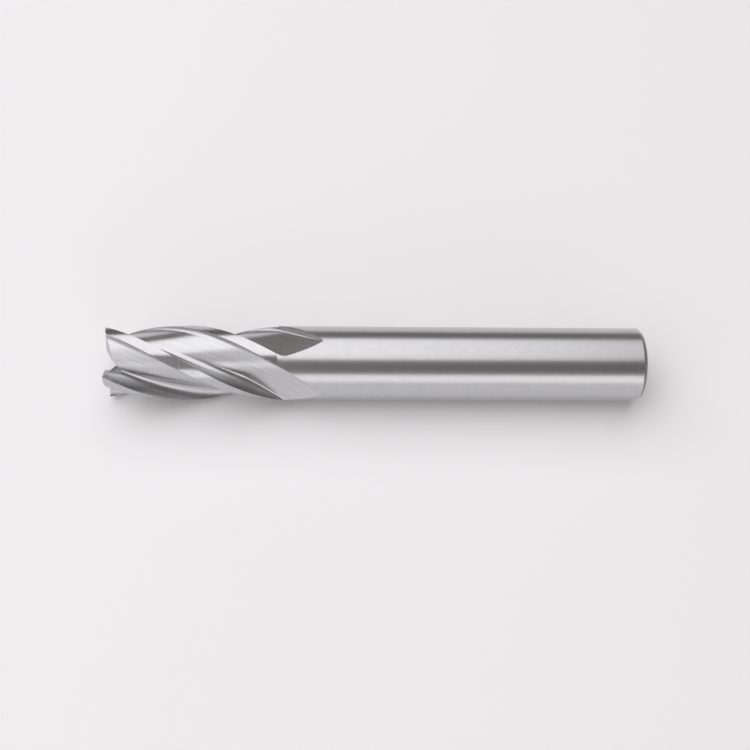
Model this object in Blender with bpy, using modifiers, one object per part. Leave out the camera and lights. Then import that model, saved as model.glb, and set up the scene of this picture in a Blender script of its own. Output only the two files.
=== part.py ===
"""A four-flute square end mill: 10 mm diameter, 22 mm of flute, 72 mm long, on a plain 10 mm shank.

The tool lies along X with its cutting tip at -X and the middle of its shank's back face at the
origin. The fluted head and the shank are two bars joined end to end by a friction weld.

The flutes are shaped the way they are ground. A thin wheel, tilted to the helix, travels from the
tip towards the shank while the tool turns, then stops, and its imprint is the run-out at the end of
each flute. Each cross-section of the head is what every place of the wheel leaves of the bar.
"""

import math

import bmesh
import bpy
import numpy as np
from mathutils import Matrix

# Whole tool, in metres
DIAMETER = 0.010
RADIUS = DIAMETER / 2
OVERALL_LENGTH = 0.072
HEAD_LENGTH = 0.033  # from the tip to the weld
END_CHAMFER = 0.0005
TIP_X = -OVERALL_LENGTH

# Teeth
TEETH = 4
PITCH = 2 * math.pi / TEETH
LAND_REACH = PITCH / 3  # the relief is no deeper than at this angle behind the edge
HELIX_ANGLE = math.radians(29)
TURN_PER_METRE = math.tan(HELIX_ANGLE) / RADIUS
FIRST_TOOTH = math.radians(37.5)  # at the tip, from -Y towards +Z
LAND_RELIEF = math.radians(6)
LAND_LENGTH = 0.02265  # from the tip to where the relief grinding stops
LAND_STEP = 0.00013  # length of the step up to the full diameter

# Flute-grinding wheel
WHEEL_RADIUS = 0.068
WHEEL_TILT = math.radians(33.4)  # between the wheel's plane and the tool's axis
WHEEL_CORNER = 0.00038  # radius between its flat side and its rim
RIM_CONE = math.radians(10.7)
RIM_WIDTH = 0.00472
FLANK = math.radians(65)  # slope of its far side
SIDE_OFFSET = 0.00020  # of its flat side from the tool's axis
CORE = 0.00294  # nearest that the rim comes to the axis
WHEEL_STOP = 0.01715  # from the tip
WHEEL_REACH = 0.014  # a section is touched by wheel places no further off than this
WHEEL_PLACES = 160
RUNOUT_END_DEPTH = 0.000004  # a shallower mark is left out
PAST_RUNOUT = 0.0001  # the first full-round section behind the run-outs
RUNOUT_LEAD = 0.001  # the run-out's own sections start this far before the wheel stops

# End teeth
END_DISH = math.radians(0.3)
END_RELIEF = math.radians(5.9)
END_RELIEF_WIDTH = 0.00109
END_CLEARANCE = math.radians(27.6)
GASH_DEPTH = 0.00132  # at the tool's axis
GASH_SLOPE = math.radians(15.5)  # of its bottom, deeper outwards
GASH_RAKE = math.radians(12)
GASH_OPENING = math.radians(51)  # of its front wall
GASH_BOTTOM = 0.0002  # how far its flat bottom reaches in front of the end edge
GASH_START = -0.0025  # along the end edge from the axis; each gash runs past the axis
CENTRE_DEPTH = 0.0021  # of the 60 degree centre that the tool is ground on
CENTRE_ANGLE = math.radians(60)
END_STOCK = 0.0003  # bar left in front of the end teeth before they are ground
CUTTER_ABOVE = 3 * END_STOCK
CUTTER_REACH = 1.3 * RADIUS
OVERLAP = 0.00002  # of one tooth's relief with the next one's
SETBACK = 0.000005  # of a gash's rake wall from the relief's edge, so that the two cuts cross

# Fineness
FLUTE_POINTS = 15
LAND_POINTS = 3
STEADY_STATIONS = 15
RUNOUT_STATIONS = 16
SHANK_SIDES = 72
HALVINGS = 22  # of an interval that holds a surface point
EDGE_CROWDING = 1.25  # above 1, a flute's points crowd towards its cutting edge
RUNOUT_CROWDING = 1.5  # above 1, sections crowd towards the run-out's end

# Where the surface is looked for: along a curve that lies inside the steel all through a flute
INSIDE_RADIUS = 0.0027
INSIDE_RISE = 0.0013  # of the curve towards both ends of the flute
INSIDE_LEAD = math.radians(12)  # past the cutting edge
INSIDE_TRAIL = math.radians(8)  # past the heel
SEARCH = np.radians(np.linspace(-60, 60, 481))  # about the place where a flute is expected

HEAD_COLOUR = (0.56, 0.56, 0.57, 1)
SHANK_COLOUR = (0.62, 0.61, 0.63, 1)


def clear_scene():
    for obj in list(bpy.data.objects):
        bpy.data.objects.remove(obj, do_unlink=True)


def collection(name):
    made = bpy.data.collections.new(name)
    bpy.context.scene.collection.children.link(made)
    return made


def steel(name, colour, roughness):
    material = bpy.data.materials.new(name)
    material.use_nodes = True
    shader = material.node_tree.nodes["Principled BSDF"]
    shader.inputs["Base Color"].default_value = colour
    shader.inputs["Metallic"].default_value = 1.0
    shader.inputs["Roughness"].default_value = roughness
    return material


def add_object(name, bm, group, material=None):
    mesh = bpy.data.meshes.new(name)
    bmesh.ops.recalc_face_normals(bm, faces=bm.faces)
    if bm.calc_volume(signed=True) < 0:
        bmesh.ops.reverse_faces(bm, faces=bm.faces)
    bm.to_mesh(mesh)
    bm.free()
    obj = bpy.data.objects.new(name, mesh)
    group.objects.link(obj)
    if material:
        mesh.materials.append(material)
    return obj


# The flute. A place in a section is (angle, radius): the angle is from -Y towards +Z.


def rim_radius(across):
    """The wheel's radius at a distance across its rim from its flat side."""
    cone, flank = math.tan(RIM_CONE), math.tan(FLANK)
    past = np.maximum(across - RIM_WIDTH, 0)
    rim = WHEEL_RADIUS - cone * np.minimum(across, RIM_WIDTH) - flank * past
    rounding = np.sqrt(np.maximum(WHEEL_CORNER**2 - (across - WHEEL_CORNER) ** 2, 0))
    top = WHEEL_RADIUS - WHEEL_CORNER * (cone + 1 / math.cos(RIM_CONE))
    rim = np.where(across < WHEEL_CORNER, np.minimum(rim, top + rounding), rim)
    return np.where(across < 0, -1.0, rim)


def stock_left(station, angle, radius):
    """How far outside the wheel a place stays at its closest; negative where it is ground away."""
    first = station - WHEEL_REACH
    last = min(station + WHEEL_REACH, WHEEL_STOP)
    place = np.linspace(first, last, WHEEL_PLACES).reshape(-1, 1)
    turned = angle + TURN_PER_METRE * place
    side, out, along = radius * np.sin(turned), radius * np.cos(turned), station - place
    tangent = math.cos(WHEEL_TILT) * along - math.sin(WHEEL_TILT) * side
    across = math.sin(WHEEL_TILT) * along + math.cos(WHEEL_TILT) * side - SIDE_OFFSET
    from_hub = np.hypot(tangent, CORE + WHEEL_RADIUS - out)
    return (from_hub - rim_radius(across)).min(axis=0)


def boundary(station, cut, kept):
    """The places between ones that are ground away and ones that are kept, by halving."""
    cut, kept = np.array(cut, float), np.array(kept, float)
    for _ in range(HALVINGS):
        middle = (cut + kept) / 2
        gone = stock_left(station, middle[0], middle[1]) < 0
        cut, kept = np.where(gone, middle, cut), np.where(gone, kept, middle)
    return (cut + kept) / 2


def deepest(station, around):
    """Where, near this angle, the bar's surface lies deepest in the wheel, and how deep."""
    angles = around + SEARCH
    left = stock_left(station, angles, np.full(angles.shape, RADIUS))
    best = left.argmin()
    return angles[best], -left[best]


def land_radius(behind, station):
    """The tooth's outer radius at an angle behind its cutting edge."""
    relief = 0 if station > LAND_LENGTH else math.tan(LAND_RELIEF)
    return RADIUS * (1 - relief * np.clip(behind, 0, LAND_REACH))


def flute_edges(station, middle, next_tooth):
    """The angles of the cutting edge and of the heel of the tooth ahead."""
    edge = boundary(station, [[middle], [RADIUS]], [[middle - PITCH], [RADIUS]])[0, 0]
    gone, kept = middle, next_tooth
    for _ in range(HALVINGS):
        angle = (gone + kept) / 2
        radius = land_radius(next_tooth - angle, station)
        if stock_left(station, np.array([angle]), np.array([radius]))[0] < 0:
            gone = angle
        else:
            kept = angle
    return edge, (gone + kept) / 2


def period(station, middle, phase):
    """One flute and the land ahead of it, as rows of (angle, radius)."""
    next_tooth = phase - TURN_PER_METRE * station + PITCH
    middle, _ = deepest(station, middle)
    edge, heel = flute_edges(station, middle, next_tooth)
    step = np.linspace(0, 1, FLUTE_POINTS) ** EDGE_CROWDING
    heel_radius = land_radius(next_tooth - heel, station)
    surface = [edge + (heel - edge) * step, RADIUS + (heel_radius - RADIUS) * step]
    inner = [
        edge - INSIDE_LEAD + (heel - edge + INSIDE_LEAD + INSIDE_TRAIL) * step,
        INSIDE_RADIUS + INSIDE_RISE * np.abs(2 * step - 1) ** 3,
    ]
    flute = boundary(station, surface, inner)
    flute[:, 0], flute[:, -1] = (edge, RADIUS), (heel, heel_radius)
    following = max(next_tooth, edge + PITCH)
    angles = np.linspace(heel, following, LAND_POINTS + 1)[1:-1]
    land = np.array([angles, land_radius(following - angles, station)])
    return np.hstack([flute, land]).T, (edge + heel) / 2


def ring(station, rows):
    """The section's corners in space, all teeth in turn."""
    angles = np.concatenate([rows[:, 0] + tooth * PITCH for tooth in range(TEETH)])
    radii = np.tile(rows[:, 1], TEETH)
    x = np.full(angles.shape, TIP_X + station)
    return np.column_stack([x, -radii * np.cos(angles), radii * np.sin(angles)])


def edge_phase():
    """The cutting edge's angle ahead of the wheel's own, where the wheel passes in full."""
    edge = boundary(0, [[0.0], [RADIUS]], [[-PITCH / 2], [RADIUS]])
    return edge[0, 0]


def head_rings():
    """The head's sections from in front of the tip to the weld, in the wheel's own phase."""
    phase = edge_phase()
    runout_start = WHEEL_STOP - RUNOUT_LEAD
    steady = np.linspace(-END_STOCK, runout_start, STEADY_STATIONS)
    rings, middle = [], phase + PITCH / 2
    rows, middle = period(0.0, middle, phase)
    for station in steady:
        rings.append(ring(station, rows - [TURN_PER_METRE * station, 0]))
    middle -= TURN_PER_METRE * runout_start
    stations = list(np.linspace(runout_start, LAND_LENGTH, RUNOUT_STATIONS // 2)[1:])
    apex = runout_end(middle)
    after = LAND_LENGTH + LAND_STEP
    spread = 1 - np.linspace(1, 0, RUNOUT_STATIONS // 2) ** RUNOUT_CROWDING
    stations += list(after + (apex - after) * spread)
    for station in stations:
        rows, middle = period(station, middle, phase)
        rings.append(ring(station, rows))
    rows[:FLUTE_POINTS] = (middle, RADIUS)
    for station in (apex + PAST_RUNOUT, HEAD_LENGTH):
        rings.append(ring(station, rows))
    return rings, phase


def runout_end(middle):
    """The last station at which the wheel still marks the bar's surface."""
    cut, kept = WHEEL_STOP, HEAD_LENGTH
    for _ in range(HALVINGS):
        station = (cut + kept) / 2
        if deepest(station, middle - PITCH / 2)[1] > RUNOUT_END_DEPTH:
            cut = station
        else:
            kept = station
    return cut


def loft(rings):
    """A closed body through the rings, each with the same number of corners."""
    bm = bmesh.new()
    rows = [[bm.verts.new(corner) for corner in corners] for corners in rings]
    count = len(rows[0])
    for near, far in zip(rows, rows[1:]):
        for i in range(count):
            j = (i + 1) % count
            bm.faces.new((near[i], near[j], far[j], far[i]))
    bm.faces.new(rows[0])
    bm.faces.new(rows[-1])
    bmesh.ops.remove_doubles(bm, verts=bm.verts, dist=1e-7)
    return bm


def tooth_frame(tooth):
    """Puts a cutter on a tooth's end edge: its X runs outwards along the edge, Y behind it, Z off the tip."""
    angle = FIRST_TOOTH + tooth * PITCH
    outwards = (0, -math.cos(angle), math.sin(angle))
    behind = (0, -math.sin(angle), -math.cos(angle))
    frame = Matrix((outwards, behind, (-1, 0, 0))).transposed().to_4x4()
    frame.translation = (TIP_X, 0, 0)
    return frame


def relief_section(x):
    """What the end face loses behind an end edge, gently and then steeply, at x along the edge."""
    dish = (RADIUS - x) * math.tan(END_DISH)
    slope = math.tan(END_RELIEF)
    gentle = END_RELIEF_WIDTH * slope
    steep = gentle + (CUTTER_REACH - END_RELIEF_WIDTH) * math.tan(END_CLEARANCE)
    floor = [(-OVERLAP, OVERLAP * slope), (END_RELIEF_WIDTH, -gentle), (CUTTER_REACH, -steep)]
    top = [(CUTTER_REACH, CUTTER_ABOVE), (-OVERLAP, CUTTER_ABOVE)]
    return [(x, y, z - dish) for y, z in floor] + [(x, y, z) for y, z in top]


def gash_section(x):
    """The notch in front of an end edge, with a flat bottom, at x along the edge."""
    rake, opening = math.tan(GASH_RAKE), math.tan(GASH_OPENING)
    depth = GASH_DEPTH + x * math.tan(GASH_SLOPE)
    front = -GASH_BOTTOM - (depth + CUTTER_ABOVE) * opening
    outline = [(depth * rake, -depth), (-CUTTER_ABOVE * rake, CUTTER_ABOVE)]
    outline += [(front, CUTTER_ABOVE), (-GASH_BOTTOM, -depth)]
    return [(x, y + SETBACK, z) for y, z in outline]


def end_cutter(name, section, start, tooth, group):
    """A cutter for one tooth's end, through its sections at the start and past the bar's surface."""
    bm = loft([section(start), section(CUTTER_REACH)])
    bm.transform(tooth_frame(tooth))
    return cutter(f"{name}_{tooth}", bm, group)


def centre_cutter(group):
    """The cone of the centre, from its point to clear of the tip."""
    height = CENTRE_DEPTH + CUTTER_ABOVE
    bm = bmesh.new()
    bmesh.ops.create_cone(
        bm, cap_ends=True, segments=24, radius1=height * math.tan(CENTRE_ANGLE / 2), radius2=0,
        depth=height, matrix=Matrix.Rotation(math.pi / 2, 4, "Y"),
    )
    bmesh.ops.translate(bm, verts=bm.verts, vec=(TIP_X + CENTRE_DEPTH - height / 2, 0, 0))
    return cutter("centre", bm, group)


def cutter(name, bm, group):
    obj = add_object(name, bm, group)
    obj.hide_render = True
    obj.display_type = "WIRE"
    return obj


def centre_hole_cutter(group):
    bm = bmesh.new()
    bmesh.ops.create_cone(
        bm, cap_ends=True, segments=24, radius1=CENTRE_HOLE, radius2=CENTRE_HOLE,
        depth=2 * CENTRE_HOLE_DEPTH, matrix=Matrix.Rotation(math.pi / 2, 4, "Y"),
    )
    bmesh.ops.translate(bm, verts=bm.verts, vec=(TIP_X, 0, 0))
    return cutter("centre_hole", bm, group)


def cut(obj, tool):
    modifier = obj.modifiers.new(tool.name, "BOOLEAN")
    modifier.operation = "DIFFERENCE"
    modifier.solver = "MANIFOLD"
    modifier.object = tool


def make_cutting_head(parts, cutters):
    rings, phase = head_rings()
    bm = loft(rings)
    bm.transform(Matrix.Rotation(FIRST_TOOTH - phase, 4, "X").inverted())
    head = add_object("cutting_head", bm, parts, steel("ground high-speed steel", HEAD_COLOUR, 0.25))
    for tooth in range(TEETH):
        cut(head, end_cutter("end_relief", relief_section, OVERLAP / 2, tooth, cutters))
    for tooth in range(TEETH):
        cut(head, end_cutter("gash", gash_section, GASH_START, tooth, cutters))
    cut(head, centre_cutter(cutters))
    return head


def make_shank(parts):
    """A turned bar: the half outline goes round the X axis with a Screw modifier."""
    weld = TIP_X + HEAD_LENGTH
    outline = [(weld, 0), (weld, RADIUS), (-END_CHAMFER, RADIUS), (0, RADIUS - END_CHAMFER), (0, 0)]
    mesh = bpy.data.meshes.new("shank")
    corners = [(x, 0, radius) for x, radius in outline]
    mesh.from_pydata(corners, [(i, i + 1) for i in range(len(corners) - 1)], [])
    shank = bpy.data.objects.new("shank", mesh)
    parts.objects.link(shank)
    turn = shank.modifiers.new("turned", "SCREW")
    turn.axis = "X"
    turn.steps = turn.render_steps = SHANK_SIDES
    turn.use_merge_vertices = True
    turn.merge_threshold = 0.00001
    turn.use_normal_calculate = True
    mesh.materials.append(steel("ground tool steel", SHANK_COLOUR, 0.2))
    return shank


def main():
    clear_scene()
    parts, cutters = collection("end_mill"), collection("cutters")
    make_cutting_head(parts, cutters)
    make_shank(parts)


main()
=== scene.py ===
"""The looks of a four-flute end mill: fine ground surfaces, steel finishes, studio and camera.

Both pieces of the tool are made again here at a finer grain than the frame's solids, in the same
place and at the same size, and each one replaces its solid. The tool lies along X with its tip at -X.
"""

import math

import bmesh
import bpy
import numpy as np
from mathutils import Matrix, Vector


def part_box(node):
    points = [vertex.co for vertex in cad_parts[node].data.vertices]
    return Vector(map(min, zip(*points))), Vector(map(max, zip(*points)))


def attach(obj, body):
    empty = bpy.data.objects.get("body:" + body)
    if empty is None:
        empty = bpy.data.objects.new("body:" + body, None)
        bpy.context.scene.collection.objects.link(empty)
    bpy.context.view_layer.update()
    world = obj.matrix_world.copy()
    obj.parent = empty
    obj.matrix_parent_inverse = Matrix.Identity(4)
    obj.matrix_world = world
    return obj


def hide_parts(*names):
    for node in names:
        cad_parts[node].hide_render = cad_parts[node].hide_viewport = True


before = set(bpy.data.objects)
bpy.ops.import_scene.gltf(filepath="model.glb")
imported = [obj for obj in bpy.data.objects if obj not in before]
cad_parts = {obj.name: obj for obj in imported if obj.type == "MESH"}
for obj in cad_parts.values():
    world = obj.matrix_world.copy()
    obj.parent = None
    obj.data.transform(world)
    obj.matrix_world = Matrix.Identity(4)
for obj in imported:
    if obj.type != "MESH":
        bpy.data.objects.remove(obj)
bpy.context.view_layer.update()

# Sizes from the frame, in metres
HEAD_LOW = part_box("cutting_head")[0]
SHANK_LOW, SHANK_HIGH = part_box("shank")
TIP_X, WELD_X, BACK_X = HEAD_LOW[0], SHANK_LOW[0], SHANK_HIGH[0]
RADIUS = (SHANK_HIGH[2] - SHANK_LOW[2]) / 2
HEAD_LENGTH = WELD_X - TIP_X

# Teeth
TEETH = 4
PITCH = 2 * math.pi / TEETH
LAND_REACH = PITCH / 3  # the relief is no deeper than at this angle behind the edge
HELIX_ANGLE = math.radians(29)
TURN_PER_METRE = math.tan(HELIX_ANGLE) / RADIUS
FIRST_TOOTH = math.radians(37.5)  # at the tip, from -Y towards +Z
LAND_RELIEF = math.radians(6)
LAND_LENGTH = 0.02265  # from the tip to where the relief grinding stops
LAND_STEP = 0.00013  # length of the step up to the full diameter

# Flute-grinding wheel
WHEEL_RADIUS = 0.068
WHEEL_TILT = math.radians(33.4)  # between the wheel's plane and the tool's axis
WHEEL_CORNER = 0.00038  # radius between its flat side and its rim
RIM_CONE = math.radians(10.7)
RIM_WIDTH = 0.00472
FLANK = math.radians(65)  # slope of its far side
SIDE_OFFSET = 0.00020  # of its flat side from the tool's axis
CORE = 0.00294  # nearest that the rim comes to the axis
WHEEL_STOP = 0.01715  # from the tip
WHEEL_REACH = 0.014  # a section is touched by wheel places no further off than this
WHEEL_PLACES = 520
RUNOUT_END_DEPTH = 0.000002  # a shallower mark is left out
PAST_RUNOUT = 0.00005  # the first full-round section behind the run-outs
RUNOUT_LEAD = 0.001  # the run-out's own sections start this far before the wheel stops

# End teeth
END_DISH = math.radians(0.3)
END_RELIEF = math.radians(5.9)
END_RELIEF_WIDTH = 0.00109
END_CLEARANCE = math.radians(27.6)
GASH_DEPTH = 0.00132  # at the tool's axis
GASH_SLOPE = math.radians(15.5)  # of its bottom, deeper outwards
GASH_RAKE = math.radians(12)
GASH_OPENING = math.radians(51)  # of its front wall
GASH_BOTTOM = 0.0002  # how far its flat bottom reaches in front of the end edge
GASH_START = -0.0025  # along the end edge from the axis; each gash runs past the axis
CENTRE_DEPTH = 0.0021  # of the 60 degree centre that the tool is ground on
CENTRE_ANGLE = math.radians(60)
CENTRE_SIDES = 64
END_STOCK = 0.0003  # bar left in front of the end teeth before they are ground
CUTTER_ABOVE = 3 * END_STOCK
CUTTER_REACH = 1.3 * RADIUS
OVERLAP = 0.00002  # of one tooth's relief with the next one's
SETBACK = 0.000005  # of a gash's rake wall from the relief's edge, so that the two cuts cross

# Shank
END_CHAMFER = 0.0005
CHAMFER_ROUNDING = 0.00006
ROUNDING_CORNER = 0.7  # of the rounding, where its other corner stands
SHARP_ANGLE = math.radians(20)  # a steeper edge is not shaded smooth
FACES_BACK = 0.5  # X of a face's normal on the chamfer and the back face

# Fineness
FLUTE_POINTS = 84
LAND_POINTS = 26
TOOTH_POINTS = FLUTE_POINTS + LAND_POINTS - 1  # corners in one flute and its land
STEADY_STATIONS = 56
RUNOUT_STATIONS = 70
SHANK_SIDES = 256
HALVINGS = 24  # of an interval that holds a surface point
SAME_PLACE = 1e-8  # places no further apart than this are one
MERGE_DISTANCE = 0.000001  # of the shank's corners on its axis
EDGE_CROWDING = 1.15  # above 1, a flute's points crowd towards its cutting edge
RUNOUT_CROWDING = 1.5  # above 1, sections crowd towards the run-out's end

# Where the surface is looked for: along a curve that lies inside the steel all through a flute
INSIDE_RADIUS = 0.0027
INSIDE_RISE = 0.0013  # of the curve towards both ends of the flute
INSIDE_LEAD = math.radians(12)  # past the cutting edge
INSIDE_TRAIL = math.radians(8)  # past the heel
SEARCH = np.radians(np.linspace(-60, 60, 481))  # about the place where a flute is expected

UV_METRES = 0.01  # of surface to one unit of the UV layer that follows the marks

# Which finish a face has
FLUTE, LAND, BAR, END = range(4)


# The flute. A place in a section is (angle, radius): the angle is from -Y towards +Z.


def rim_radius(across):
    """The wheel's radius at a distance across its rim from its flat side."""
    cone, flank = math.tan(RIM_CONE), math.tan(FLANK)
    past = np.maximum(across - RIM_WIDTH, 0)
    rim = WHEEL_RADIUS - cone * np.minimum(across, RIM_WIDTH) - flank * past
    rounding = np.sqrt(np.maximum(WHEEL_CORNER**2 - (across - WHEEL_CORNER) ** 2, 0))
    top = WHEEL_RADIUS - WHEEL_CORNER * (cone + 1 / math.cos(RIM_CONE))
    rim = np.where(across < WHEEL_CORNER, np.minimum(rim, top + rounding), rim)
    return np.where(across < 0, -1.0, rim)


def nearest_wheel(station, angle, radius):
    """How far outside the wheel a place stays at its closest, and where across the rim that is."""
    first = station - WHEEL_REACH
    last = min(station + WHEEL_REACH, WHEEL_STOP)
    place = np.linspace(first, last, WHEEL_PLACES).reshape(-1, 1)
    turned = angle + TURN_PER_METRE * place
    side, out, along = radius * np.sin(turned), radius * np.cos(turned), station - place
    tangent = math.cos(WHEEL_TILT) * along - math.sin(WHEEL_TILT) * side
    across = math.sin(WHEEL_TILT) * along + math.cos(WHEEL_TILT) * side - SIDE_OFFSET
    left = np.hypot(tangent, CORE + WHEEL_RADIUS - out) - rim_radius(across)
    closest = left.argmin(axis=0)
    columns = np.arange(left.shape[1])
    return left[closest, columns], across[closest, columns]


def stock_left(station, angle, radius):
    return nearest_wheel(station, angle, radius)[0]


def boundary(station, cut, kept):
    """The places between ones that are ground away and ones that are kept, by halving."""
    cut, kept = np.array(cut, float), np.array(kept, float)
    for _ in range(HALVINGS):
        middle = (cut + kept) / 2
        gone = stock_left(station, middle[0], middle[1]) < 0
        cut, kept = np.where(gone, middle, cut), np.where(gone, kept, middle)
    return (cut + kept) / 2


def deepest(station, around):
    """Where, near this angle, the bar's surface lies deepest in the wheel, and how deep."""
    angles = around + SEARCH
    left = stock_left(station, angles, np.full(angles.shape, RADIUS))
    best = left.argmin()
    return angles[best], -left[best]


def land_radius(behind, station):
    """The tooth's outer radius at an angle behind its cutting edge."""
    relief = 0 if station > LAND_LENGTH else math.tan(LAND_RELIEF)
    return RADIUS * (1 - relief * np.clip(behind, 0, LAND_REACH))


def flute_edges(station, middle, next_tooth):
    """The angles of the cutting edge and of the heel of the tooth ahead."""
    edge = boundary(station, [[middle], [RADIUS]], [[middle - PITCH], [RADIUS]])[0, 0]
    gone, kept = middle, next_tooth
    for _ in range(HALVINGS):
        angle = (gone + kept) / 2
        radius = land_radius(next_tooth - angle, station)
        if stock_left(station, np.array([angle]), np.array([radius]))[0] < 0:
            gone = angle
        else:
            kept = angle
    return edge, (gone + kept) / 2


def period(station, middle, phase):
    """One flute and the land ahead of it, as rows of (angle, radius, distance across the rim)."""
    next_tooth = phase - TURN_PER_METRE * station + PITCH
    middle, _ = deepest(station, middle)
    edge, heel = flute_edges(station, middle, next_tooth)
    step = np.linspace(0, 1, FLUTE_POINTS) ** EDGE_CROWDING
    heel_radius = land_radius(next_tooth - heel, station)
    surface = [edge + (heel - edge) * step, RADIUS + (heel_radius - RADIUS) * step]
    inner = [
        edge - INSIDE_LEAD + (heel - edge + INSIDE_LEAD + INSIDE_TRAIL) * step,
        INSIDE_RADIUS + INSIDE_RISE * np.abs(2 * step - 1) ** 3,
    ]
    flute = boundary(station, surface, inner)
    flute[:, 0], flute[:, -1] = (edge, RADIUS), (heel, heel_radius)
    across = nearest_wheel(station, flute[0], flute[1])[1]
    following = max(next_tooth, edge + PITCH)
    angles = np.linspace(heel, following, LAND_POINTS + 1)[1:-1]
    land = [angles, land_radius(following - angles, station), 0 * angles]
    return np.hstack([np.vstack([flute, across]), land]).T, (edge + heel) / 2


def ring(station, rows):
    """The section's corners all round: X, Y, Z and the distance across the rim."""
    angles = np.concatenate([rows[:, 0] + tooth * PITCH for tooth in range(TEETH)])
    radii, across = np.tile(rows[:, 1], TEETH), np.tile(rows[:, 2], TEETH)
    x = np.full(angles.shape, TIP_X + station)
    return np.column_stack([x, -radii * np.cos(angles), radii * np.sin(angles), across])


def edge_phase():
    """The cutting edge's angle ahead of the wheel's own, where the wheel passes in full."""
    edge = boundary(0, [[0.0], [RADIUS]], [[-PITCH / 2], [RADIUS]])
    return edge[0, 0]


def runout_end(middle):
    """The last station at which the wheel still marks the bar's surface."""
    cut, kept = WHEEL_STOP, HEAD_LENGTH
    for _ in range(HALVINGS):
        station = (cut + kept) / 2
        if deepest(station, middle - PITCH / 2)[1] > RUNOUT_END_DEPTH:
            cut = station
        else:
            kept = station
    return cut


def head_rings():
    """The head's sections from the tip to the weld, their stations, the run-outs' end, and the phase."""
    phase = edge_phase()
    runout_start = WHEEL_STOP - RUNOUT_LEAD
    steady = list(np.linspace(-END_STOCK, runout_start, STEADY_STATIONS))
    rings, middle = [], phase + PITCH / 2
    rows, middle = period(0.0, middle, phase)
    for station in steady:
        rings.append(ring(station, rows - [TURN_PER_METRE * station, 0, 0]))
    middle -= TURN_PER_METRE * runout_start
    stations = list(np.linspace(runout_start, LAND_LENGTH, RUNOUT_STATIONS // 2)[1:])
    apex = runout_end(middle)
    after = LAND_LENGTH + LAND_STEP
    spread = 1 - np.linspace(1, 0, RUNOUT_STATIONS // 2) ** RUNOUT_CROWDING
    stations += list(after + (apex - after) * spread)
    for station in stations:
        rows, middle = period(station, middle, phase)
        rings.append(ring(station, rows))
    rows[:FLUTE_POINTS, :2] = (middle, RADIUS)
    last = [apex + PAST_RUNOUT, HEAD_LENGTH]
    for station in last:
        rings.append(ring(station, rows))
    return rings, steady + stations + last, stations[-1], phase


def column_finish(column):
    """The finish of the faces between this column of corners and the next."""
    return FLUTE if column % TOOTH_POINTS < FLUTE_POINTS - 1 else LAND


def is_edge_column(column):
    """True along the cutting edges and the heels."""
    return column % TOOTH_POINTS in (0, FLUTE_POINTS - 1)


def is_land_step(station):
    """True at the two ends of the step from the relieved land up to the bar."""
    ends = (LAND_LENGTH, LAND_LENGTH + LAND_STEP)
    return min(abs(station - end) for end in ends) < SAME_PLACE


def head_mesh():
    """The head before its end teeth are ground, with a UV layer that follows the grinding marks."""
    rings, stations, runout_tip, phase = head_rings()
    bm = bmesh.new()
    marks = bm.loops.layers.uv.new("marks")
    turn = Matrix.Rotation(FIRST_TOOTH - phase, 4, "X").inverted()
    rows = [[bm.verts.new(turn @ Vector(corner[:3])) for corner in corners] for corners in rings]
    count = len(rows[0])
    for k in range(len(rows) - 1):
        for i in range(count):
            j = (i + 1) % count
            corners = ((k, i), (k, j), (k + 1, j), (k + 1, i))
            face = bm.faces.new([rows[a][b] for a, b in corners])
            face.smooth = True
            face.material_index = column_finish(i)
            past_land = face.material_index == LAND and stations[k] > LAND_LENGTH - SAME_PLACE
            if past_land or stations[k] > runout_tip:
                face.material_index = BAR
            for loop, (a, b) in zip(face.loops, corners):
                loop[marks].uv = (stations[a] / UV_METRES, rings[a][b][3] / UV_METRES)
    for cap in (rows[0], rows[-1]):
        face = bm.faces.new(cap)
        face.material_index = END
        for edge in face.edges:
            edge.smooth = False
    for k in range(len(rows) - 1):
        for i in range(count):
            if is_edge_column(i) and stations[k] < runout_tip:
                edge = bm.edges.get((rows[k][i], rows[k + 1][i]))
                edge.smooth = False
            if column_finish(i) == LAND and is_land_step(stations[k]):
                edge = bm.edges.get((rows[k][i], rows[k][(i + 1) % count]))
                edge.smooth = False
    bmesh.ops.remove_doubles(bm, verts=bm.verts, dist=SAME_PLACE)
    bmesh.ops.recalc_face_normals(bm, faces=bm.faces)
    return bm


# Grinding the end teeth


def tooth_frame(tooth):
    """Puts a cutter on a tooth's end edge: X runs outwards along the edge, Y behind it, Z off the tip."""
    angle = FIRST_TOOTH + tooth * PITCH
    outwards = (0, -math.cos(angle), math.sin(angle))
    behind = (0, -math.sin(angle), -math.cos(angle))
    axes = Matrix((outwards, behind, (-1, 0, 0))).transposed().to_4x4()
    axes.translation = (TIP_X, 0, 0)
    return axes


def relief_section(x):
    """What the end face loses behind an end edge, gently and then steeply, at x along the edge."""
    dish = (RADIUS - x) * math.tan(END_DISH)
    slope = math.tan(END_RELIEF)
    gentle = END_RELIEF_WIDTH * slope
    steep = gentle + (CUTTER_REACH - END_RELIEF_WIDTH) * math.tan(END_CLEARANCE)
    floor = [(-OVERLAP, OVERLAP * slope), (END_RELIEF_WIDTH, -gentle), (CUTTER_REACH, -steep)]
    top = [(CUTTER_REACH, CUTTER_ABOVE), (-OVERLAP, CUTTER_ABOVE)]
    return [(x, y, z - dish) for y, z in floor] + [(x, y, z) for y, z in top]


def gash_section(x):
    """The notch in front of an end edge, with a flat bottom, at x along the edge."""
    rake, opening = math.tan(GASH_RAKE), math.tan(GASH_OPENING)
    depth = GASH_DEPTH + x * math.tan(GASH_SLOPE)
    front = -GASH_BOTTOM - (depth + CUTTER_ABOVE) * opening
    outline = [(depth * rake, -depth), (-CUTTER_ABOVE * rake, CUTTER_ABOVE)]
    outline += [(front, CUTTER_ABOVE), (-GASH_BOTTOM, -depth)]
    return [(x, y + SETBACK, z) for y, z in outline]


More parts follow.
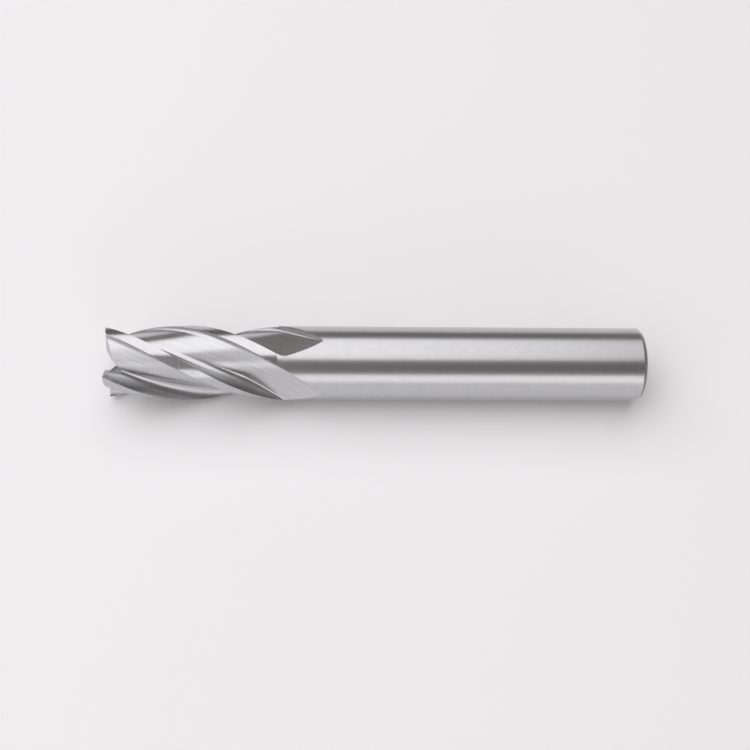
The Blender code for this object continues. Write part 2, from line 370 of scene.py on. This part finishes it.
def end_cutter(name, section, start, tooth):
    """A cutter for one tooth's end, through its sections at the start and past the bar's surface."""
    bm = bmesh.new()
    near = [bm.verts.new(corner) for corner in section(start)]
    far = [bm.verts.new(corner) for corner in section(CUTTER_REACH)]
    bm.faces.new(near)
    bm.faces.new(far)
    for i in range(len(near)):
        bm.faces.new((near[i - 1], near[i], far[i], far[i - 1]))
    bm.transform(tooth_frame(tooth))
    return cutter(f"{name}_{tooth}", bm)


def centre_cutter():
    """The cone of the centre, from its point to clear of the tip."""
    height = CENTRE_DEPTH + CUTTER_ABOVE
    bm = bmesh.new()
    bmesh.ops.create_cone(
        bm, cap_ends=True, segments=CENTRE_SIDES, radius1=height * math.tan(CENTRE_ANGLE / 2),
        radius2=0, depth=height, matrix=Matrix.Rotation(math.pi / 2, 4, "Y"),
    )
    bmesh.ops.translate(bm, verts=bm.verts, vec=(TIP_X + CENTRE_DEPTH - height / 2, 0, 0))
    return cutter("centre", bm)


def cutter(name, bm):
    """A closed body to cut with."""
    bmesh.ops.recalc_face_normals(bm, faces=bm.faces)
    if bm.calc_volume(signed=True) < 0:
        bmesh.ops.reverse_faces(bm, faces=bm.faces)
    for face in bm.faces:
        face.material_index = END
    mesh = bpy.data.meshes.new(name)
    bm.to_mesh(mesh)
    bm.free()
    return bpy.data.objects.new(name, mesh)


def grind_end(head):
    """Cuts the end teeth, and keeps only the resulting mesh."""
    group = bpy.data.collections.new("end_cutters")
    bpy.context.scene.collection.children.link(group)
    cutters = [centre_cutter()]
    for tooth in range(TEETH):
        cutters.append(end_cutter("end_relief", relief_section, OVERLAP / 2, tooth))
        cutters.append(end_cutter("gash", gash_section, GASH_START, tooth))
    for obj in cutters:
        group.objects.link(obj)
        obj.data.materials.append(None)
    modifier = head.modifiers.new("end_teeth", "BOOLEAN")
    modifier.operation = "DIFFERENCE"
    modifier.operand_type = "COLLECTION"
    modifier.collection = group
    modifier.solver = "EXACT"
    graph = bpy.context.evaluated_depsgraph_get()
    ground = bpy.data.meshes.new_from_object(head.evaluated_get(graph))
    head.modifiers.clear()
    head.data = ground
    for obj in cutters:
        bpy.data.objects.remove(obj, do_unlink=True)
    bpy.data.collections.remove(group)


# Finishes. Lengths are in metres, and a grain is as fine across the marks as one grinding mark.

NOISE_LOW, NOISE_HIGH = 0.3, 0.7  # most of a noise lies between these


def steel(name, colour, roughness, anisotropy):
    """A bare steel and its shader node. Highlights spread across marks that run round the tool."""
    material = bpy.data.materials.new(name)
    material.use_nodes = True
    shader = material.node_tree.nodes["Principled BSDF"]
    shader.inputs["Base Color"].default_value = (*colour, 1)
    shader.inputs["Metallic"].default_value = 1.0
    shader.inputs["Roughness"].default_value = roughness
    shader.inputs["Anisotropic"].default_value = anisotropy
    shader.inputs["Anisotropic Rotation"].default_value = 0.25
    tangent = add_node(material, "ShaderNodeTangent")
    tangent.direction_type = "RADIAL"
    tangent.axis = "X"
    link(material, tangent.outputs["Tangent"], shader.inputs["Tangent"])
    return material, shader


def add_node(material, kind, **inputs):
    node = material.node_tree.nodes.new(kind)
    for name, value in inputs.items():
        node.inputs[name.replace("_", " ")].default_value = value
    return node


def link(material, source, target):
    material.node_tree.links.new(source, target)


def bar_place(material):
    """The place on the tool, in metres."""
    return add_node(material, "ShaderNodeTexCoord").outputs["Object"]


def marks_place(material):
    """The place along and across the wheel's grinding marks, in metres, from the mesh."""
    marks = add_node(material, "ShaderNodeUVMap")
    marks.uv_map = "marks"
    return scaled(material, marks.outputs["UV"], (UV_METRES, UV_METRES, 1))


def scaled(material, place, factors):
    node = add_node(material, "ShaderNodeVectorMath")
    node.operation = "MULTIPLY"
    link(material, place, node.inputs[0])
    node.inputs[1].default_value = factors
    return node.outputs["Vector"]


def grain(material, place, sizes, detail=2.0):
    """A noise whose features have these sizes along X, Y and Z of the place."""
    stretched = scaled(material, place, [1 / size for size in sizes])
    noise = add_node(material, "ShaderNodeTexNoise", Scale=1.0, Detail=detail, Roughness=0.6)
    link(material, stretched, noise.inputs["Vector"])
    return noise.outputs["Fac"]


def spread(material, factor, low, high):
    """The noise's middle values, spread out from low to high."""
    ramp = add_node(
        material, "ShaderNodeMapRange",
        From_Min=NOISE_LOW, From_Max=NOISE_HIGH, To_Min=low, To_Max=high,
    )
    link(material, factor, ramp.inputs["Value"])
    return ramp.outputs["Result"]


def bumped(material, shader, layers):
    """Bumps on the surface from (noise, depth in metres) layers, one on another."""
    normal = None
    for factor, depth in layers:
        bump = add_node(material, "ShaderNodeBump", Strength=1.0, Distance=depth)
        link(material, factor, bump.inputs["Height"])
        if normal:
            link(material, normal, bump.inputs["Normal"])
        normal = bump.outputs["Normal"]
    link(material, normal, shader.inputs["Normal"])


def tinted(material, shader, factor, dark, light):
    """Colours the steel from dark to light by a noise."""
    mix = add_node(material, "ShaderNodeMix")
    mix.data_type = "RGBA"
    link(material, spread(material, factor, 0, 1), mix.inputs["Factor"])
    mix.inputs["A"].default_value = (*dark, 1)
    mix.inputs["B"].default_value = (*light, 1)
    link(material, mix.outputs["Result"], shader.inputs["Base Color"])


def flute_steel():
    """Coarse marks that follow the wheel down the flute."""
    material, shader = steel("ground_flute", (0.56, 0.56, 0.57), 0.30, 0.35)
    place = marks_place(material)
    fine = grain(material, place, (0.006, 0.00007, 1), 3)
    broad = grain(material, place, (0.012, 0.00035, 1))
    tinted(material, shader, broad, (0.50, 0.50, 0.51), (0.61, 0.61, 0.62))
    link(material, spread(material, fine, 0.22, 0.38), shader.inputs["Roughness"])
    bumped(material, shader, [(fine, 0.0000035), (broad, 0.000006)])
    return material


def land_steel():
    """Fine marks round the tool from relief grinding."""
    material, shader = steel("ground_land", (0.56, 0.56, 0.57), 0.22, 0.3)
    place = bar_place(material)
    fine = grain(material, place, (0.00010, 0.006, 0.006), 3)
    cloud = grain(material, place, (0.0012, 0.0012, 0.0012))
    tinted(material, shader, cloud, (0.51, 0.51, 0.52), (0.56, 0.56, 0.57))
    link(material, spread(material, fine, 0.17, 0.27), shader.inputs["Roughness"])
    bumped(material, shader, [(fine, 0.0000012)])
    return material


def bar_steel():
    """Centreless-ground bar: very fine marks round it, and a faint cloudiness."""
    material, shader = steel("ground_bar", (0.56, 0.56, 0.57), 0.29, 0.4)
    place = bar_place(material)
    fine = grain(material, place, (0.00007, 0.012, 0.012), 3)
    cloud = grain(material, place, (0.0011, 0.0007, 0.0007), 4)
    tinted(material, shader, cloud, (0.525, 0.525, 0.53), (0.57, 0.57, 0.58))
    link(material, spread(material, fine, 0.285, 0.30), shader.inputs["Roughness"])
    bumped(material, shader, [(fine, 0.0000003)])
    return material


def end_steel():
    """The small ground faces of the end teeth."""
    material, shader = steel("ground_end", (0.54, 0.54, 0.55), 0.30, 0.0)
    fine = grain(material, bar_place(material), (0.0008, 0.0008, 0.00008), 3)
    link(material, spread(material, fine, 0.24, 0.36), shader.inputs["Roughness"])
    bumped(material, shader, [(fine, 0.0000015)])
    return material


def painted_dark_turned_steel():
    """The chamfer and back face, turned: rings round the axis. Their dark colour is painted shade, a
    painted reflection of dark surroundings.
    """
    # Painted reflection: this dark base colour and the dark tint below stand in for the dark surroundings
    # that the chamfer and back face reflect
    material, shader = steel("painted_dark_end", (0.24, 0.23, 0.22), 0.38, 0.3)
    place = bar_place(material)
    radial = add_node(material, "ShaderNodeVectorMath")
    radial.operation = "LENGTH"
    link(material, scaled(material, place, (0, 1, 1)), radial.inputs[0])
    along = add_node(material, "ShaderNodeSeparateXYZ")
    link(material, place, along.inputs[0])
    rings = add_node(material, "ShaderNodeCombineXYZ")
    link(material, radial.outputs["Value"], rings.inputs["X"])
    link(material, along.outputs["X"], rings.inputs["Y"])
    fine = grain(material, rings.outputs["Vector"], (0.00006, 0.00006, 1), 2)
    cloud = grain(material, place, (0.0012, 0.0012, 0.0012), 3)
    # painted shade: the tint only runs between dark colours that stand in for a dark reflection
    tinted(material, shader, cloud, (0.20, 0.19, 0.18), (0.29, 0.28, 0.27))
    link(material, spread(material, fine, 0.32, 0.44), shader.inputs["Roughness"])
    bumped(material, shader, [(fine, 0.0000015)])
    return material


# Pieces


def make_head(finishes):
    mesh = bpy.data.meshes.new("fluted_head")
    bm = head_mesh()
    bm.to_mesh(mesh)
    bm.free()
    head = bpy.data.objects.new("fluted_head", mesh)
    bpy.context.scene.collection.objects.link(head)
    for finish in finishes:
        mesh.materials.append(finish)
    grind_end(head)
    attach(head, "root")
    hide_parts("cutting_head")


def make_shank(bar, painted_dark_end):
    """The plain bar: its half outline, turned round the X axis."""
    rounding, corner = CHAMFER_ROUNDING, ROUNDING_CORNER * CHAMFER_ROUNDING
    outline = [
        (WELD_X, 0), (WELD_X, RADIUS), (BACK_X - END_CHAMFER - rounding, RADIUS),
        (BACK_X - END_CHAMFER + corner, RADIUS - corner),
        (BACK_X - corner, RADIUS - END_CHAMFER + corner),
        (BACK_X, RADIUS - END_CHAMFER - rounding), (BACK_X, 0),
    ]
    mesh = bpy.data.meshes.new("shank_bar")
    corners = [(x, 0, radius) for x, radius in outline]
    mesh.from_pydata(corners, [(i, i + 1) for i in range(len(corners) - 1)], [])
    shank = bpy.data.objects.new("shank_bar", mesh)
    bpy.context.scene.collection.objects.link(shank)
    turn = shank.modifiers.new("turned", "SCREW")
    turn.axis = "X"
    turn.steps = turn.render_steps = SHANK_SIDES
    turn.use_merge_vertices = True
    turn.merge_threshold = MERGE_DISTANCE
    turn.use_normal_calculate = True
    graph = bpy.context.evaluated_depsgraph_get()
    turned = bpy.data.meshes.new_from_object(shank.evaluated_get(graph))
    shank.modifiers.clear()
    shank.data = turned
    turned.shade_smooth()
    turned.set_sharp_from_angle(angle=SHARP_ANGLE)
    turned.materials.append(bar)
    turned.materials.append(painted_dark_end)
    # The chamfer and back face take the steel painted dark, a painted reflection of dark surroundings.
    for face in turned.polygons:
        face.material_index = int(face.normal.x > FACES_BACK)
    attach(shank, "root")
    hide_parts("shank")


# Studio. A bearing in the YZ plane is an angle from -Y over the top towards +Y.

CAMERA_BEARING = math.radians(60)
CAMERA_YAW = math.radians(3.2)
CAMERA_ROLL = math.radians(0.23)
CAMERA_DISTANCE = 0.1559
CAMERA_AIM = 0.035785  # from the tip
CAMERA_SHIFT_UP = 0.001548
CAMERA_LENS = 55.2

FLOOR_RADIUS = 0.9
FLOOR_SIDES = 128
FLOOR_COLOUR = (0.97, 0.97, 0.97, 1)
FLOOR_ROUGHNESS = 0.9
ROOM_COLOUR = (0.175, 0.165, 0.155, 1)
BACKDROP_COLOUR = (0.74, 0.74, 0.74, 1)
LIGHT_COLOUR = (1.0, 0.99, 1.02)
FILL_RADIANCE = 0.18  # of the panel that lights the floor and makes no reflection
TOOL_MIDDLE = (TIP_X + BACK_X) / 2

# Name, bearings from and to, slants from and to (all in degrees), distance in metres, radiance
PANELS = (
    ("overhead_left", 71, 143, -55, 2, 0.9, 1.42),
    ("overhead_right", 71, 143, 2, 22, 0.9, 1.16),
    ("front_strip", 0, 25, -30, 45, 1.2, 1.22),
    ("left_high", 57, 71, -56, -23, 0.9, 1.40),
    ("left_panel", 25, 57, -56, -20, 0.9, 1.18),
    ("back_strip", 174, 180, -40, 40, 1.2, 0.45),
    ("floor_fill", 60, 120, -40, 40, 0.9, FILL_RADIANCE),
)


def make_camera():
    right = Vector((1, 0, 0))
    up = Vector((0, math.sin(CAMERA_BEARING), math.cos(CAMERA_BEARING)))
    forward = Vector((0, math.cos(CAMERA_BEARING), -math.sin(CAMERA_BEARING)))
    across = math.cos(CAMERA_YAW) * right - math.sin(CAMERA_YAW) * forward
    forward = math.cos(CAMERA_YAW) * forward + math.sin(CAMERA_YAW) * right
    level = math.cos(CAMERA_ROLL) * across + math.sin(CAMERA_ROLL) * up
    upright = math.cos(CAMERA_ROLL) * up - math.sin(CAMERA_ROLL) * across
    aim = Vector((TIP_X + CAMERA_AIM, 0, 0))
    place = aim - CAMERA_DISTANCE * forward - CAMERA_SHIFT_UP * upright
    data = bpy.data.cameras.new("camera")
    data.lens = CAMERA_LENS
    data.clip_start = 0.001
    camera = bpy.data.objects.new("camera", data)
    turn = Matrix((level, upright, -forward)).transposed().to_4x4()
    camera.matrix_world = Matrix.Translation(place) @ turn
    bpy.context.scene.collection.objects.link(camera)
    bpy.context.scene.camera = camera


def make_floor():
    bm = bmesh.new()
    bmesh.ops.create_circle(bm, cap_ends=True, segments=FLOOR_SIDES, radius=FLOOR_RADIUS)
    mesh = bpy.data.meshes.new("floor")
    bm.to_mesh(mesh)
    bm.free()
    floor = bpy.data.objects.new("floor", mesh)
    floor.location = (TOOL_MIDDLE, 0, SHANK_LOW[2])
    bpy.context.scene.collection.objects.link(floor)
    material = bpy.data.materials.new("white_floor")
    material.use_nodes = True
    shader = material.node_tree.nodes["Principled BSDF"]
    shader.inputs["Base Color"].default_value = FLOOR_COLOUR
    shader.inputs["Roughness"].default_value = FLOOR_ROUGHNESS
    mesh.materials.append(material)


def softbox(name, place, aim, wide, high, radiance):
    """A rectangular light, wide along X, that shines from place towards aim."""
    light = bpy.data.lights.new(name, "AREA")
    light.shape = "RECTANGLE"
    light.size, light.size_y = wide, high
    light.energy = radiance * math.pi * wide * high
    light.color = LIGHT_COLOUR
    lamp = bpy.data.objects.new(name, light)
    back = (Vector(place) - Vector(aim)).normalized()
    side = Vector((1, 0, 0))
    turn = Matrix((side, back.cross(side), back)).transposed().to_4x4()
    lamp.matrix_world = Matrix.Translation(place) @ turn
    lamp.visible_camera = False
    bpy.context.scene.collection.objects.link(lamp)
    return lamp


def bearing_panel(name, low, high, left, right, distance, radiance):
    """A softbox that fills the bearings from low to high and the slants from left to right."""
    middle, half = math.radians((low + high) / 2), math.radians((high - low) / 2)
    first = distance * math.tan(math.radians(left))
    last = distance * math.tan(math.radians(right))
    aim = Vector((TOOL_MIDDLE + (first + last) / 2, 0, 0))
    place = aim + distance * Vector((0, -math.cos(middle), math.sin(middle)))
    return softbox(name, place, aim, last - first, 2 * distance * math.tan(half), radiance)


def make_lights():
    panels = {panel[0]: bearing_panel(*panel) for panel in PANELS}
    panels["floor_fill"].visible_glossy = False


def make_world():
    """Warm and dim where it lights the steel, and a plain pale backdrop behind the floor's edge."""
    world = bpy.data.worlds.new("studio")
    world.use_nodes = True
    nodes, links = world.node_tree.nodes, world.node_tree.links
    room = nodes["Background"]
    room.inputs["Color"].default_value = ROOM_COLOUR
    backdrop = nodes.new("ShaderNodeBackground")
    backdrop.inputs["Color"].default_value = BACKDROP_COLOUR
    seen, shown = nodes.new("ShaderNodeLightPath"), nodes.new("ShaderNodeMixShader")
    links.new(seen.outputs["Is Camera Ray"], shown.inputs[0])
    links.new(room.outputs["Background"], shown.inputs[1])
    links.new(backdrop.outputs["Background"], shown.inputs[2])
    links.new(shown.outputs["Shader"], nodes["World Output"].inputs["Surface"])
    bpy.context.scene.world = world


def main():
    bar = bar_steel()
    make_head([flute_steel(), land_steel(), bar, end_steel()])
    make_shank(bar, painted_dark_turned_steel())
    make_camera()
    make_floor()
    make_lights()
    make_world()
    bpy.context.scene.view_settings.view_transform = "Standard"


main()
